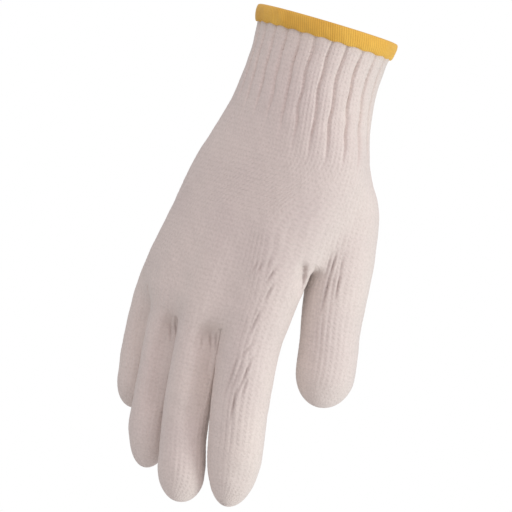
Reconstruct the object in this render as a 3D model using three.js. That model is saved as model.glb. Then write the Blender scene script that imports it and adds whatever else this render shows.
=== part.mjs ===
// Knit work glove, filled out as if worn, with its fingers pointing down.
// Millimetres. The origin is the centre of the wrist opening, +Z runs up the forearm,
// -Y points out of the back of the hand and +X points to the thumb side.
//
// The glove is knitted as one tube that divides at the thumb and at the knuckles. Its outside is
// the smooth union of six tapered limbs, and rows of loops are laid on it around one limb or several.
// Each piece is a run of those rows, given the thickness of the fabric.

import * as THREE from "three";

// Fabric and pieces
const WALL = 2;
const GAP = 0.3;
const HEM_HEIGHT = 8.5;
const CUFF_END = -63;

// Ribs of the cuff: how far each of the four columns of a rib lies from the plain skin
const RIB_HEIGHT = 0.8;
const RIB_PROFILE = [1, 0.7, -1, 0.7];
const RIB_FADE = { from: -45, to: -63 };

// Heights where the tube divides, a little above the bottom of each crotch, and where the stalls begin
const THUMB_SPLIT = -117;
const THUMB_CUT = -137;
const FINGER_CUT = -178;
const LITTLE_CUT = -168;
const SPLITS = { index_middle: -161, middle_ring: -162, ring_little: -151 };
const RING_ROOT_SHARE = 0.4;

// Rounding between limbs: finger to finger, thumb to hand, and palm to fingers
const FINGER_BLEND = 5;
const THUMB_BLEND = 18;
const PALM_BLEND = 10;
const SLIT_BLEND = 2;

// Where fingers lie side by side: the space between them, the run in which a branch parts from the
// rounding at its root, and how far each web hangs between its ends
const STALL_SPACING = 0.5;
const THUMB_ROOT_LENGTH = 16;
const FINGER_ROOT_LENGTH = 7;
const THUMB_WEB_DROP = 5;
const FINGER_WEB_DROP = 2;

// Below a crotch the columns come from the row above and take up their own places within this length
const SETTLE_LENGTH = 14;

// Columns of fabric in a row: across a finger, across the thumb and on the side of a limb.
// FINE gives the cuff 112 columns, which are 28 ribs.
const COARSE = { finger: 4, thumb: 4, side: 3 };
const FINE = { finger: 10, thumb: 12, side: 4 };
const HEM = { finger: 4, thumb: 5, side: 4 };

// Rows down each run of fabric, and how steeply the last rows of a stall look down into its tip
const ROWS = { cuff: 7, palm: 7, hand: 5, root: 3, thumb: 4, finger: 6, little: 5 };
const TIP_SLOPES = [25, 50, 72];

const DEGREE = Math.PI / 180;
const HALVINGS = 30;

function table(names, rows) {
  return rows.map((row) => Object.fromEntries(names.map((name, i) => [name, row[i]])));
}

// Sections across each limb, from the wrist down to its end: height, centre, size across and through
// the hand. The last run of a limb, as long as its tip, is rounded off towards the end.
const SECTION = ["z", "x", "y", "width", "depth"];
const PALM = {
  tip: 12,
  rows: table(SECTION, [
    [0, -1, 0, 74, 57],
    [-13, -1, 0, 71, 54],
    [-27, -1, 0, 70, 53],
    [-45, -0.5, 0, 75, 52],
    [-65, -1, 0, 87, 50],
    [-85, -5, -1, 92, 45],
    [-108, -9, -2.5, 90, 38],
    [-133, -14, -2, 86, 32],
    [-148, -17, -1, 80, 28],
    [-160, -17, -1, 80, 28],
  ]),
};
const THUMB = {
  root: THUMB_SPLIT,
  tip: 18,
  rows: table(SECTION, [
    [-23, 7, 3, 12, 12],
    [-53, 15.5, 7, 24, 24],
    [-78, 29, 15, 33, 31],
    [-103, 33, 20, 34, 33],
    [-124, 35.3, 22, 33.4, 31],
    [-143, 37.3, 24, 31.4, 29],
    [-163, 40, 27, 31, 28],
    [-185, 40.2, 29.3, 30.5, 27],
  ]),
};
const INDEX = {
  root: SPLITS.index_middle,
  tip: 29,
  rows: table(SECTION, [
    [-23, 6, -2, 16, 16],
    [-93, 9, -5, 20, 20],
    [-133, 12, -3, 30, 25],
    [-166, 11.6, -1, 30, 28],
    [-197, 13.7, 2.5, 30, 27],
    [-217, 14.9, 7.4, 29.5, 27],
    [-231, 14.8, 11.4, 29, 26.5],
    [-246, 14.3, 14.8, 29, 26],
  ]),
};
const MIDDLE = {
  root: SPLITS.middle_ring,
  tip: 15,
  rows: table(SECTION, [
    [-23, -3, -3, 16, 16],
    [-93, -8, -7, 20, 18],
    [-133, -14, -7.5, 26, 24],
    [-166, -15.5, -4.4, 25, 26],
    [-197, -14.3, -1.8, 24, 25],
    [-217, -12.7, 2.1, 24.6, 24],
    [-232, -9.8, 4.4, 26, 24],
    [-251, -8.8, 7.5, 25, 22.5],
  ]),
};
const RING = {
  root: SPLITS.middle_ring,
  tip: 22,
  rows: table(SECTION, [
    [-23, -12, -2, 16, 16],
    [-93, -24, -3, 18, 18],
    [-133, -35, -2, 24, 24],
    [-166, -39.1, 1.3, 23, 24],
    [-197, -38, 5.1, 22.5, 24],
    [-217, -37.4, 8.2, 22.5, 23.5],
    [-240, -35.9, 11, 22.8, 22],
  ]),
};
const LITTLE = {
  root: SPLITS.ring_little,
  tip: 14,
  rows: table(SECTION, [
    [-23, -20, 0, 14, 14],
    [-93, -37, 3, 18, 18],
    [-133, -53, 7, 22, 23],
    [-153, -58.2, 11.5, 23.5, 24],
    [-183, -59, 14, 21.5, 22],
    [-200, -57.7, 15.8, 20.5, 20.5],
    [-213.5, -57.6, 17.1, 20, 20],
  ]),
};
const FINGERS = [INDEX, MIDDLE, RING, LITTLE];
const WHOLE_HAND = [THUMB, ...FINGERS];

// Section of the hem: how far out from the plain skin, and height
const HEM_PROFILE = table(["out", "z"], [
  [1.2, -HEM_HEIGHT + 0.6],
  [1.8, -HEM_HEIGHT * 0.6],
  [1.7, -HEM_HEIGHT * 0.3],
  [0.8, -0.5],
  [-1, 0],
  [-2.8, -0.5],
  [-3.4, -HEM_HEIGHT * 0.4],
  [-3, -HEM_HEIGHT + 0.6],
  [-2, -HEM_HEIGHT],
  [0, -HEM_HEIGHT],
]);

function mix(a, b, t) {
  return a + (b - a) * t;
}

// A smooth curve through a column of the table
function sectionAt(limb, z) {
  const rows = limb.rows;
  const last = rows.length - 1;
  if (z >= rows[0].z) return rows[0];
  if (z <= rows[last].z) return rows[last];
  const i = rows.findIndex((row) => row.z < z) - 1;
  const [a, b] = [rows[i], rows[i + 1]];
  const before = rows[Math.max(i - 1, 0)];
  const after = rows[Math.min(i + 2, last)];
  const span = b.z - a.z;
  const t = (z - a.z) / span;
  const section = { z };
  for (const name of SECTION.slice(1)) {
    const rise = ((b[name] - before[name]) / (b.z - before.z)) * span;
    const fall = b === after ? 0 : ((after[name] - a[name]) / (after.z - a.z)) * span;
    const step = b[name] - a[name];
    section[name] = a[name] + t * (rise + t * (3 * step - 2 * rise - fall + t * (rise + fall - 2 * step)));
  }
  return section;
}

// Distance from a limb: an elliptical tube that closes like an ellipsoid along its tip
function limbDistance(limb, p) {
  const section = sectionAt(limb, p.z);
  const across = section.width / 2;
  const through = section.depth / 2;
  const u = p.x - section.x;
  const v = p.y - section.y;
  const w = Math.max(0, limb.rows.at(-1).z + limb.tip - p.z);
  const near = Math.hypot(u / across, v / through, w / limb.tip);
  const slope = Math.hypot(u / across ** 2, v / through ** 2, w / limb.tip ** 2);
  return slope < 1e-9 ? -Math.min(across, through) : (near * (near - 1)) / slope;
}

function smoothMin(a, b, radius) {
  const overlap = Math.max(radius - Math.abs(a - b), 0) / radius;
  return Math.min(a, b) - (overlap ** 2 * radius) / 4;
}

function handDistance(p) {
  const each = FINGERS.map((limb) => limbDistance(limb, p));
  const fingers = each.reduce((a, b) => smoothMin(a, b, FINGER_BLEND));
  return smoothMin(fingers, limbDistance(PALM, p), PALM_BLEND);
}

function skinDistance(p) {
  return smoothMin(handDistance(p), limbDistance(THUMB, p), THUMB_BLEND);
}

// Distance from one branch of the tube, a stall or the four-finger hand. Below its root a branch leaves
// the rounding at the crotch behind, and where branches lie together each keeps to its own side.
function branchDistance(limbs) {
  const others = WHOLE_HAND.filter((limb) => !limbs.includes(limb));
  if (others.length === 0) return skinDistance;
  const single = limbs.length === 1;
  const root = single ? limbs[0].root : THUMB_SPLIT;
  const rootLength = root === THUMB_SPLIT ? THUMB_ROOT_LENGTH : FINGER_ROOT_LENGTH;
  const ownLimbs = single ? limbs : [...limbs, PALM];
  return (p) => {
    const own = Math.min(...ownLimbs.map((limb) => limbDistance(limb, p)));
    const nearest = Math.min(...others.map((limb) => limbDistance(limb, p)));
    const apart = THREE.MathUtils.smoothstep(-p.z, -root, rootLength - root);
    const joined = root === THUMB_SPLIT ? skinDistance(p) : handDistance(p);
    const form = mix(joined, single ? own : handDistance(p), apart);
    return -smoothMin(-form, -(own - nearest + STALL_SPACING) / 2, SLIT_BLEND);
  };
}

function skinNormal(p, distance, level) {
  const step = 0.05;
  const slope = (axis) => {
    const ahead = p.clone().addScaledVector(axis, step);
    const behind = p.clone().addScaledVector(axis, -step);
    return distance(ahead) - distance(behind);
  };
  const normal = new THREE.Vector3(
    slope(new THREE.Vector3(1, 0, 0)),
    slope(new THREE.Vector3(0, 1, 0)),
    level ? 0 : slope(new THREE.Vector3(0, 0, 1)),
  );
  return normal.normalize();
}

// Where a ray from inside the glove meets its outside
function onSkin(base, direction, distance = skinDistance) {
  const reach = 1;
  const place = (r) => base.clone().addScaledVector(direction, r);
  if (distance(base) > -reach) throw new Error(`a row starts outside the glove at z ${base.z}`);
  let inside = 0;
  while (distance(place(inside + reach)) < 0) inside += reach;
  let outside = inside + reach;
  for (let i = 0; i < HALVINGS; i += 1) {
    const middle = (inside + outside) / 2;
    if (distance(place(middle)) < 0) inside = middle;
    else outside = middle;
  }
  return place(outside);
}

// A point of the skin. A level point is on a cut edge, whose thickness is measured level.
function loopPoint(place, { distance = skinDistance, level = false } = {}) {
  return { place, distance, level, lift: 0 };
}

// Within the cuff the rows keep the places that the limbs have at the wrist
function centre(limb, z) {
  const section = sectionAt(limb, Math.min(z, CUFF_END));
  return new THREE.Vector3(section.x, section.y, z);
}

function heading(from, to) {
  return Math.atan2(to.y - from.y, to.x - from.x);
}

// One closed row round neighbouring limbs, counter-clockwise from above. It starts on the thumb side
// of the first limb, at its back-of-hand corner. heights gives z at each limb and between limbs. Below
// a crotch, above gives the crotch's own row and how far down from it this one is.
function rowAround(limbs, heights, counts, level = false, above = null) {
  const centres = limbs.map((limb, k) => centre(limb, heights.at[k]));
  const joins = limbs.slice(1).map((limb, k) => {
    const z = heights.between[k];
    const [a, b] = [centre(limbs[k], z), centre(limb, z)];
    return { place: a.clone().lerp(b, 0.5), turn: heading(b, a), angle: Math.PI / 2 };
  });
  const turns = limbs.map((limb, k) => limbTurn(limb, heights.at[k]));
  const distance = branchDistance(limbs);
  const acrossOf = (limb) => (limb === THUMB ? counts.thumb : counts.finger);
  const cornerOf = (limb) => (Math.PI / 2) * (counts.side / (acrossOf(limb) + counts.side));

  const row = [];
  const point = (base, angle) => {
    const direction = new THREE.Vector3(Math.cos(angle), Math.sin(angle), 0);
    if (above) {
      const start = above.row[row.length].place.clone().sub(base).setZ(0).normalize();
      const settled = THREE.MathUtils.smoothstep(above.drop, 0, SETTLE_LENGTH);
      direction.copy(start.lerp(direction, settled)).normalize();
    }
    return loopPoint(onSkin(base, direction, distance), { distance, level });
  };
  // A point on the palm side (face 1) or the back (face -1), from the thumb side (0) to the little side (1)
  const facePoint = (k, fraction, face) => {
    const corner = cornerOf(limbs[k]);
    const ownEnd = (angle) => ({ place: centres[k], turn: turns[k], angle });
    const first = k > 0 ? joins[k - 1] : ownEnd(corner);
    const last = k < joins.length ? joins[k] : ownEnd(Math.PI - corner);
    const [end, t] = fraction < 0.5 ? [first, 1 - 2 * fraction] : [last, 2 * fraction - 1];
    const base = centres[k].clone().lerp(end.place, t);
    return point(base, mix(turns[k], end.turn, t) + face * mix(Math.PI / 2, end.angle, t));
  };

  const lastLimb = limbs.length - 1;
  for (let i = 0; i <= counts.side; i += 1) {
    const corner = cornerOf(limbs[0]);
    row.push(point(centres[0], turns[0] + mix(-corner, corner, i / counts.side)));
  }
  for (let k = 0; k <= lastLimb; k += 1) {
    const across = acrossOf(limbs[k]);
    for (let j = 1; j <= across; j += 1) row.push(facePoint(k, j / across, 1));
  }
  for (let i = 1; i <= counts.side; i += 1) {
    const corner = cornerOf(limbs[lastLimb]);
    const angle = turns[lastLimb] + Math.PI + mix(-corner, corner, i / counts.side);
    row.push(point(centres[lastLimb], angle));
  }
  for (let k = lastLimb; k >= 0; k -= 1) {
    const across = acrossOf(limbs[k]);
    for (let j = 1; j <= across; j += 1) {
      if (k > 0 || j < across) row.push(facePoint(k, 1 - j / across, -1));
    }
  }
  return row;
}

// How far a limb's columns are turned about Z: along the line of its neighbours, down to its root
function limbTurn(limb, z) {
  const level = Math.max(z, limb.root);
  const k = WHOLE_HAND.indexOf(limb);
  const thumbSide = WHOLE_HAND[Math.max(k - 1, Math.min(k, 1))];
  const littleSide = WHOLE_HAND[Math.min(k + 1, WHOLE_HAND.length - 1)];
  return heading(centre(littleSide, level), centre(thumbSide, level));
}

function levelHeights(limbs, z) {
  return { at: limbs.map(() => z), between: limbs.slice(1).map(() => z) };
}

// The web of a crotch: points that hang between its back and palm corners
function webBetween(backCorner, palmCorner, side, drop) {
  const web = [backCorner];
  for (let i = 1; i < side; i += 1) {
    const place = backCorner.place.clone().lerp(palmCorner.place, i / side);
    place.z -= drop * Math.sin((Math.PI * i) / side);
    web.push(loopPoint(place));
  }
  web.push(palmCorner);
  return web;
}

// Divides a row round several limbs into one row for each group of limbs
function divide(row, limbs, counts, groups, drop) {
  const acrossOf = (limb) => (limb === THUMB ? counts.thumb : counts.finger);
  const total = limbs.reduce((sum, limb) => sum + acrossOf(limb), 0);
  const palmCorner = [counts.side];
  limbs.forEach((limb) => palmCorner.push(palmCorner.at(-1) + acrossOf(limb)));
  const backCorner = palmCorner.map((start) => (3 * counts.side + 2 * total - start) % row.length);
  const webs = limbs.slice(1).map((limb, k) =>
    webBetween(row[backCorner[k + 1]], row[palmCorner[k + 1]], counts.side, drop),
  );
  const rows = [];
  let k = 0;
  for (const group of groups) {
    const [first, last] = [k, k + group];
    const thumbSide = first === 0 ? row.slice(0, counts.side + 1) : webs[first - 1];
    const palmSide = row.slice(palmCorner[first] + 1, palmCorner[last]);
    const littleStart = palmCorner[last];
    const littleSide =
      last === limbs.length
        ? row.slice(littleStart, littleStart + counts.side + 1)
        : webs[last - 1].slice().reverse();
    const backEnd = first === 0 ? row.length : backCorner[first];
    const backSide = row.slice(backCorner[last] + 1, backEnd);
    rows.push([...thumbSide, ...palmSide, ...littleSide, ...backSide]);
    k = last;
  }
  return rows;
}

// Polygons between two rows, the upper row first
function strip(upper, lower) {
  return upper.map((point, i) => {
    const next = (i + 1) % upper.length;
    return [point, lower[i], lower[next], upper[next]];
  });
}

function strips(rows) {
  return rows.slice(1).flatMap((row, i) => strip(rows[i], row));
}

function evenHeights(from, to, count) {
  return Array.from({ length: count + 1 }, (_, i) => mix(from, to, i / count));
}

// Gives a patch of the skin the thickness of the fabric and closes it along its edges
function thicken(polygons) {
  const index = new Map();
  polygons.flat().forEach((point) => {
    if (!index.has(point)) index.set(point, index.size);
  });
  const outside = [];
  const inside = [];
  index.forEach((_, point) => {
    const normal = skinNormal(point.place, point.distance, point.level);
    outside.push(point.place.clone().addScaledVector(normal, point.lift));
    inside.push(point.place.clone().addScaledVector(normal, point.lift - WALL));
  });
  const places = [...outside, ...inside];
  const inner = outside.length;
  const faces = [];
  const edges = new Map();
  for (const polygon of polygons) {
    const ids = polygon.map((point) => index.get(point));
    const corners = ids.filter((id, i) => id !== ids[(i + 1) % ids.length]);
    faces.push(corners, corners.map((id) => id + inner).reverse());
    corners.forEach((id, i) => {
      const next = corners[(i + 1) % corners.length];
      if (!edges.delete(`${next} ${id}`)) edges.set(`${id} ${next}`, [id, next]);
    });
  }
  edges.forEach(([a, b]) => faces.push([b, a, a + inner, b + inner]));
  return solid(places, faces);
}

function solid(places, faces) {
  const geometry = new THREE.BufferGeometry();
  const triangles = faces.flatMap((face) => {
    const [a, b, c, d] = face;
    if (face.length === 3) return [face];
    const short = places[a].distanceTo(places[c]) < places[b].distanceTo(places[d]);
    return short ? [[a, b, c], [a, c, d]] : [[a, b, d], [b, c, d]];
  });
  const coordinates = places.flatMap((place) => place.toArray());
  geometry.setAttribute("position", new THREE.Float32BufferAttribute(coordinates, 3));
  geometry.setIndex(triangles.flat());
  geometry.computeVertexNormals();
  return geometry;
}

// Spaces the points of a closed row evenly along its length
function evenRow(row) {
  const at = [0];
  const after = (i) => row[(i + 1) % row.length];
  row.forEach((point, i) => at.push(at[i] + point.place.distanceTo(after(i).place)));
  const whole = at.at(-1);
  return row.map((_, i) => {
    const along = (whole * i) / row.length;
    const k = Math.max(at.findIndex((start) => start > along) - 1, 0);
    const t = (along - at[k]) / (at[k + 1] - at[k]);
    return loopPoint(row[k].place.clone().lerp(after(k).place, t), { level: true });
  });
}

function wristRow(z, counts) {
  return evenRow(rowAround(WHOLE_HAND, levelHeights(WHOLE_HAND, z), counts, true));
}

// The yellow overedge round the opening, a rounded band sewn over the edge of the cuff
function hemOverlock() {
  const rings = HEM_PROFILE.map((corner) =>
    wristRow(corner.z, HEM).map(({ place }) =>
      place.clone().addScaledVector(skinNormal(place, skinDistance, true), corner.out),
    ),
  );
  const columns = rings[0].length;
  const faces = [];
  rings.forEach((_, r) => {
    const after = (r + 1) % rings.length;
    for (let i = 0; i < columns; i += 1) {
      const next = (i + 1) % columns;
      faces.push([r * columns + i, r * columns + next, after * columns + next, after * columns + i]);
    }
  });
  return solid(rings.flat(), faces);
}

function ribLift(column, z) {
  const fade = THREE.MathUtils.smoothstep(z, RIB_FADE.to, RIB_FADE.from);
  return RIB_HEIGHT * fade * RIB_PROFILE[column % RIB_PROFILE.length];
}

// The elastic cuff with its lengthwise ribs, which die out towards the palm
function ribCuff() {
  const heights = evenHeights(-HEM_HEIGHT - GAP, CUFF_END, ROWS.cuff);
  const rows = heights.map((z) => {
    const row = wristRow(z, FINE);
    row.forEach((point, i) => {
      point.lift = ribLift(i, z);
    });
    return row;
  });
  return thicken(strips(rows));
}

// Rows of a stall from its cut edge to its tip, the last of them seen from one point inside the tip
function stallRows(limb, cut, count) {
  const end = limb.rows.at(-1);
  const base = centre(limb, end.z + Math.min(limb.tip, end.width / 2));
  const rows = evenHeights(cut, base.z, count).map((z, i) =>
    rowAround([limb], levelHeights([limb], z), COARSE, i === 0),
  );
  const distance = branchDistance([limb]);
  for (const slope of TIP_SLOPES) {
    const down = Math.tan(slope * DEGREE);
    rows.push(
      rows[count].map((point) => {
        const direction = new THREE.Vector3().subVectors(point.place, base).setZ(0).normalize();
        return loopPoint(onSkin(base, direction.setZ(-down).normalize(), distance), { distance });
      }),
    );
  }
  const pole = loopPoint(onSkin(base, new THREE.Vector3(0, 0, -1), distance), { distance });
  rows.push(rows[0].map(() => pole));
  return rows;
}

function stall(limb, cut, count) {
  return thicken(strips(stallRows(limb, cut - GAP, count)));
}

// Rows from the crotches beside a limb down to where its stall is cut off, the last of them level
function rootRows(limb, first, top, cut) {
  const steps = evenHeights(top, cut, ROWS.root).slice(1);
  const rows = steps.map((z, i) => {
    const above = { row: first, drop: top - z };
    return rowAround([limb], levelHeights([limb], z), COARSE, i === steps.length - 1, above);
  });
  return [first, ...rows];
}

// The palm and back of the hand down to the roots of the stalls
function palmBody() {
  const { index_middle, middle_ring, ring_little } = SPLITS;
  const splitHeights = {
    at: [index_middle, middle_ring, mix(middle_ring, ring_little, RING_ROOT_SHARE), ring_little],
    between: [index_middle, middle_ring, ring_little],
  };
  const wrist = evenHeights(CUFF_END - GAP, THUMB_SPLIT, ROWS.palm).map((z, i) =>
    rowAround(WHOLE_HAND, levelHeights(WHOLE_HAND, z), COARSE, i === 0),
  );
  const [thumbRoot, handRoot] = divide(wrist.at(-1), WHOLE_HAND, COARSE, [1, 4], THUMB_WEB_DROP);

  const hand = [handRoot];
  for (let i = 1; i <= ROWS.hand; i += 1) {
    const along = (z) => mix(THUMB_SPLIT, z, i / ROWS.hand);
    const heights = { at: splitHeights.at.map(along), between: splitHeights.between.map(along) };
    const above = { row: handRoot, drop: THUMB_SPLIT - along(index_middle) };
    hand.push(rowAround(FINGERS, heights, COARSE, false, above));
  }
  const roots = divide(hand.at(-1), FINGERS, COARSE, [1, 1, 1, 1], FINGER_WEB_DROP);

  const polygons = [...strips(wrist), ...strips(hand)];
  polygons.push(...strips(rootRows(THUMB, thumbRoot, THUMB_SPLIT, THUMB_CUT)));
  FINGERS.forEach((limb, k) => {
    const cut = limb === LITTLE ? LITTLE_CUT : FINGER_CUT;
    polygons.push(...strips(rootRows(limb, roots[k], splitHeights.at[k], cut)));
  });
  return thicken(polygons);
}

const naturalKnit = new THREE.MeshStandardMaterial({ color: 0xe6dccf, roughness: 0.95, metalness: 0 });
const hemYarn = new THREE.MeshStandardMaterial({ color: 0xe2ab45, roughness: 0.85, metalness: 0 });

function piece(name, geometry, material) {
  const mesh = new THREE.Mesh(geometry, material);
  mesh.name = name;
  return mesh;
}

const glove = new THREE.Group();
glove.name = "knit_work_glove";
glove.add(
  piece("hem_overlock", hemOverlock(), hemYarn),
  piece("rib_cuff", ribCuff(), naturalKnit),
  piece("palm_body", palmBody(), naturalKnit),
  piece("thumb", stall(THUMB, THUMB_CUT, ROWS.thumb), naturalKnit),
  piece("index_finger", stall(INDEX, FINGER_CUT, ROWS.finger), naturalKnit),
  piece("middle_finger", stall(MIDDLE, FINGER_CUT, ROWS.finger), naturalKnit),
  piece("ring_finger", stall(RING, FINGER_CUT, ROWS.finger), naturalKnit),
  piece("little_finger", stall(LITTLE, LITTLE_CUT, ROWS.little), naturalKnit),
);

export default glove;
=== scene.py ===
import math

import bpy
import numpy as np
from mathutils import Matrix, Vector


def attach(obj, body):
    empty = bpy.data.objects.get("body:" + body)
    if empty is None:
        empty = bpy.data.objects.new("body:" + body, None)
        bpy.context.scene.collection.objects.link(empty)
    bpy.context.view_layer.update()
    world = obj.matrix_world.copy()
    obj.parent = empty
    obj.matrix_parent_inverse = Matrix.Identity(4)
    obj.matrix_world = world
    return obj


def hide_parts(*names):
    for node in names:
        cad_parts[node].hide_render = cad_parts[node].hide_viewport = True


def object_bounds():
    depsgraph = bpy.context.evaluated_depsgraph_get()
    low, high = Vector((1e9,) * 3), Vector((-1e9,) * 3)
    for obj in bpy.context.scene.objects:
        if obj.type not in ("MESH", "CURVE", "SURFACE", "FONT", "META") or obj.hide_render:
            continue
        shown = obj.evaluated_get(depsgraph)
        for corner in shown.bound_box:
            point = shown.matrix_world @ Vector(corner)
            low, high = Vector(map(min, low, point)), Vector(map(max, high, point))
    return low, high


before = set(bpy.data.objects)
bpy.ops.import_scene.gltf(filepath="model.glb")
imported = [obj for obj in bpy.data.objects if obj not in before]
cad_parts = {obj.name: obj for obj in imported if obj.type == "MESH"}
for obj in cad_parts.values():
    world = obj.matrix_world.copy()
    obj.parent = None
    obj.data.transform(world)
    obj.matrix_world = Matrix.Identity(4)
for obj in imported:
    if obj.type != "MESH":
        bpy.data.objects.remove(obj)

cad_box = [list(corner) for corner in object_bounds()]

# Lengths below are in millimetres, as in the part's source, and become metres when a mesh is made
MM = 0.001

# Fabric, hem and cuff
WALL = 2
HEM_HEIGHT = 8.5
CUFF_END = -63

# Heights where the tube divides and where the stalls begin. At the ring finger the tube divides at a
# share of the way from one neighbouring split to the other.
THUMB_SPLIT = -117
THUMB_CUT = -137
FINGER_CUT = -178
LITTLE_CUT = -168
SPLITS = {"index_middle": -161, "middle_ring": -162, "ring_little": -151}
RING_ROOT_SHARE = 0.4

# Rounding between limbs: finger to finger, thumb to hand, palm to fingers, and at the edges of the slits
# that part neighbours
FINGER_BLEND = 8
THUMB_BLEND = 12
PALM_BLEND = 10
SLIT_BLEND = 1.2

# Width of those slits, the length below a split where the rounding dies out, and how far a web hangs
SLIT_WIDTH = 0.12
THUMB_ROOT_LENGTH = 6
FINGER_ROOT_LENGTH = 45
THUMB_WEB_DROP = 5
FINGER_WEB_DROP = 2

# Below a crotch the columns come from the row above and take up their own places within this length
SETTLE_LENGTH = 14

# Edges sharper than this stay sharp in the smooth shading
SHARP_ANGLE = math.radians(80)

# Search for the skin along a ray: number of steps, the shortest and longest step, and how far apart the
# distances are taken that give its normal
SKIN_STEPS = 16
SKIN_STEP_RANGE = (-2, 12)
NORMAL_STEP = 0.1

# Wales across a finger, across the thumb and on the side of a limb, and the height of a course
ACROSS = {"finger": 10, "thumb": 12, "side": 4}
COURSE = 2.3

# Mesh points along one wale's width and one course's height, and courses in the cap of a stall
PER_WALE = 5
PER_COURSE = 4
TIP_COURSES = 9

# The cuff begins inside the hem. Its wales are spaced evenly, and lose that by this height.
CUFF_TOP = -7
EVEN_UNTIL = -110
WALES = 2 * (ACROSS["thumb"] + 4 * ACROSS["finger"] + ACROSS["side"])
WALES_PER_RIB = 4
RIBS = WALES // WALES_PER_RIB

# Ribs of the cuff: their height, and the parts of it in a plain base, a round crown and a narrow valley
RIB_HEIGHT = 0.7
RIB_BASE = 0.6
RIB_CROWN = 0.3
RIB_VALLEY = 2

# Width of a valley and how far it wanders, as shares of a rib. The valleys are shallower near the hem.
RIB_VALLEY_WIDTH = 0.1
RIB_WANDER = 0.045
NEAR_HEM = (-18, -9)
VALLEY_LOST_NEAR_HEM = 0.5

# Where the ribs have died out: the heights on each side of the hand, the places across and the length
RIB_END = {"little_side": -55, "thumb_side": -72}
RIB_SIDES = {"little_side": -32, "thumb_side": 34}
RIB_FADE = 20

# Relief of the loops: a ridge along each wale and stitches that lean across it
WALE_HEIGHT = 0.14
WALE_BASE = 0.6
STITCH_HEIGHT = 0.03
STITCH_BASE = 0.4
STITCH_LEAN = 0.4

# Unevenness of the loops' height in patches and from loop to loop, and of the whole fabric
PATCH_UNEVEN = 0.35
LOOP_UNEVEN = 0.25
UNEVEN_HEIGHT = 0.07

# Where wales are stretched: the depth of the gaps between them, its mean and uneven parts, the width of a
# gap as a share of a wale, and how much higher the ridges are
GAP_DEPTH = 0.8
GAP_MEAN = 0.7
GAP_UNEVEN = 0.5
GAP_WIDTH = 0.13
STRETCHED_RIDGE = 1.5

# Towards the tip of a stall, where wales crowd together, the relief dies out as this power of their width
CROWDING = 0.7

# Where the fingers stretch the wales, seen from the camera: heights of both ends, places across the hand
# of both ends, half width and amount
STRETCHED = [
    (-116, -150, -3, 3, 5, 0.35),
    (-150, -215, 3, 11, 5, 0.4),
    (-106, -125, 35, 35.5, 4, 0.35),
    (-125, -165, 35.5, 42, 5, 0.35),
]

# How far the stretch runs out beyond both ends, and the mean and uneven parts of its patches
STRETCHED_FADE = 6
STRETCHED_MEAN = 0.75
STRETCHED_UNEVEN = 0.5

# Gaps pulled open between wales, seen from the camera: height and place across of each end, and amount
OPENED_GAPS = [
    (-124.5, 0, -130.5, -1, 0.6),
    (-123.5, 2.5, -130, 1.5, 0.6),
    (-118, 6.5, -125.5, 5.5, 0.5),
    (-124.5, 9.5, -132, 7.5, 0.8),
    (-132, 11, -141.5, 9, 0.6),
    (-146.5, 8.5, -158, 7, 0.7),
    (-164, 9, -170, 7, 0.5),
    (-171.5, 4.5, -191, 4, 0.8),
    (-174.5, 7, -190, 6.5, 0.5),
    (-170, 11.5, -189, 9.5, 0.7),
    (-180, 12.5, -188.5, 12, 0.6),
    (-187.5, 8.5, -203, 10, 1),
    (-107.5, 34, -120.5, 34.5, 0.7),
    (-107.5, 36.5, -120.5, 36.5, 0.9),
    (-118.5, 36.5, -138.5, 37.5, 1),
    (-108, 40, -119, 41, 0.6),
    (-117, 41, -131, 42.5, 0.9),
    (-133.5, 34.5, -145.5, 36.5, 0.3),
    (-166.5, -32.5, -175.5, -30, 0.7),
    (-165, -30.5, -172.5, -27, 0.8),
    (-168.5, -15, -173, -14, 0.5),
    (-165, -12, -172.5, -9.5, 0.8),
    (-164.5, -9, -172.5, -7, 0.8),
    (-117, 22, -135.5, 27.5, 1),
    (-117.5, 23.5, -129.5, 26, 0.9),
]

# How far an opened gap runs out beyond its ends, its half width and depth, and how open its ends are
OPENED_FADE = 1.5
OPENED_WIDTH = 0.5
OPENED_DEPTH = 0.9
OPENED_AT_ENDS = 0.35

# The yarn pushed aside by an opened gap: its distance from the gap and its height
PUSHED_ASIDE = 1.15
PUSHED_HEIGHT = 0.3

# Dents where the fabric isn't filled out, at the crotch of the thumb, between the fingers, on the outer side
# of the index finger and on the back of the little finger: centre, radius and depth
DENTS = [
    (25.5, 7, -230, 6, 1.2),
    (31.7, -7.5, -120.5, 2.3, 4),
    (32, -5.5, -124.5, 2.8, 4.5),
    (32.2, -4, -128.5, 2.8, 4.5),
    (32, -2.5, -132, 2.3, 3),
    (-6, -13, -165, 4.5, 2.5),
    (-6, -12, -169, 7, 3),
    (-4, -9, -177, 7, 3.2),
    (-3.5, -7.5, -187, 7, 3.2),
    (-3, -6.5, -197, 7, 2.8),
    (-3, -5.5, -207, 7, 2),
    (-31.5, -7.5, -164, 4.5, 2),
    (-32, -7.5, -168, 7, 2.8),
    (-33.5, -8, -178, 7, 3),
    (-33, -6.5, -188, 7, 2.8),
    (-32, -5, -198, 7, 2.5),
    (-31.5, -3.5, -207, 7, 2),
    (-57, 2, -170, 6, 1.5),
    (-56, 3, -180, 6, 1.5),
]

# The camera stands on the back-of-hand side, turned towards the thumb, and is rolled. The size and centre
# are those of its view in the plane of the origin.
CAMERA_TURN = math.radians(32)
CAMERA_ROLL = math.radians(17)
CAMERA_DISTANCE = 3000
VIEW_SIZE = 256
VIEW_CENTRE = (-36.9, -115.85)
SENSOR_SIZE = 36

# Directions across the view and towards the camera
ACROSS_VIEW = np.array([math.cos(CAMERA_TURN), math.sin(CAMERA_TURN), 0])
TO_CAMERA = np.array([math.sin(CAMERA_TURN), -math.cos(CAMERA_TURN), 0])

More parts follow.
